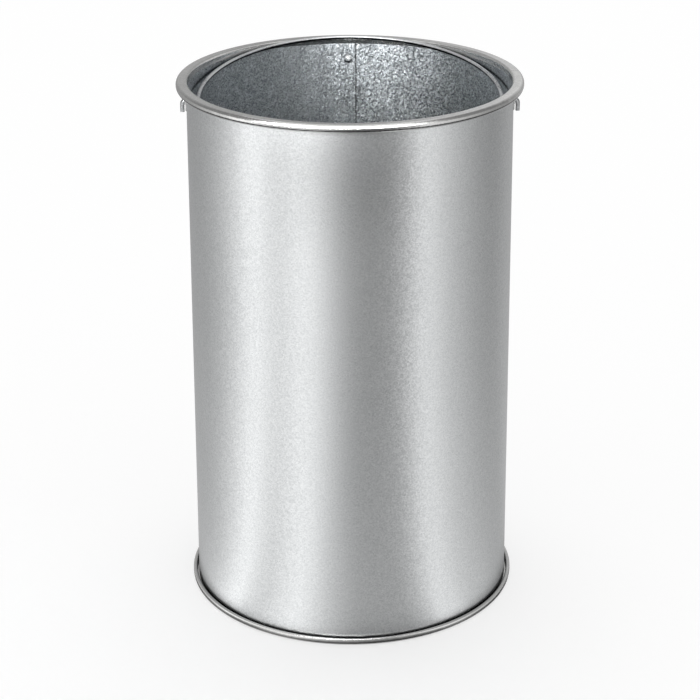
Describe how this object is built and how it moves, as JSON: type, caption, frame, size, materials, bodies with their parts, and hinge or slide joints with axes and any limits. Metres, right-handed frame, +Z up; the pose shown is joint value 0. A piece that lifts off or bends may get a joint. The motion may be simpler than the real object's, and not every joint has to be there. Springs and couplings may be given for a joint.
{
  "type": "galvanized steel can with swing bail",
  "caption": "Tall open straight-walled galvanized steel can with rolled rim hoop, curled foot hoop, riveted lap seam and a wire bail that lies back in the mouth.",
  "frame": {"origin": "centre of the floor under the can", "axes": "+Z up along the can's axis; the front looks along -Y, so the seam and the resting bail are at the back, +Y; the bail turns about an axis along X"},
  "size_m": [0.3188, 0.3188, 0.5082],
  "materials": {
    "galvanized_sheet": "satin zinc with fine spangle",
    "hoop_steel": "burnished zinc",
    "rivet_steel": "bright zinc",
    "bail_wire": "drawn zinc-coated wire"
  },
  "bodies": {
    "can": {"shell": "galvanized_sheet", "rim_hoop": "hoop_steel", "foot_hoop": "hoop_steel", "base_pan": "galvanized_sheet", "seam_rivets": "rivet_steel", "ear_plate_right": "hoop_steel", "ear_plate_left": "hoop_steel", "eyelet_right": "rivet_steel", "eyelet_left": "rivet_steel"},
    "bail": {"bail": "bail_wire"}
  },
  "joints": [
    {"name": "bail_swing", "type": "hinge", "parent": "can", "child": "bail", "pos_m": [0, 0, 0.484], "axis": [1, 0, 0], "range_deg": [0, 162.8]}
  ]
}
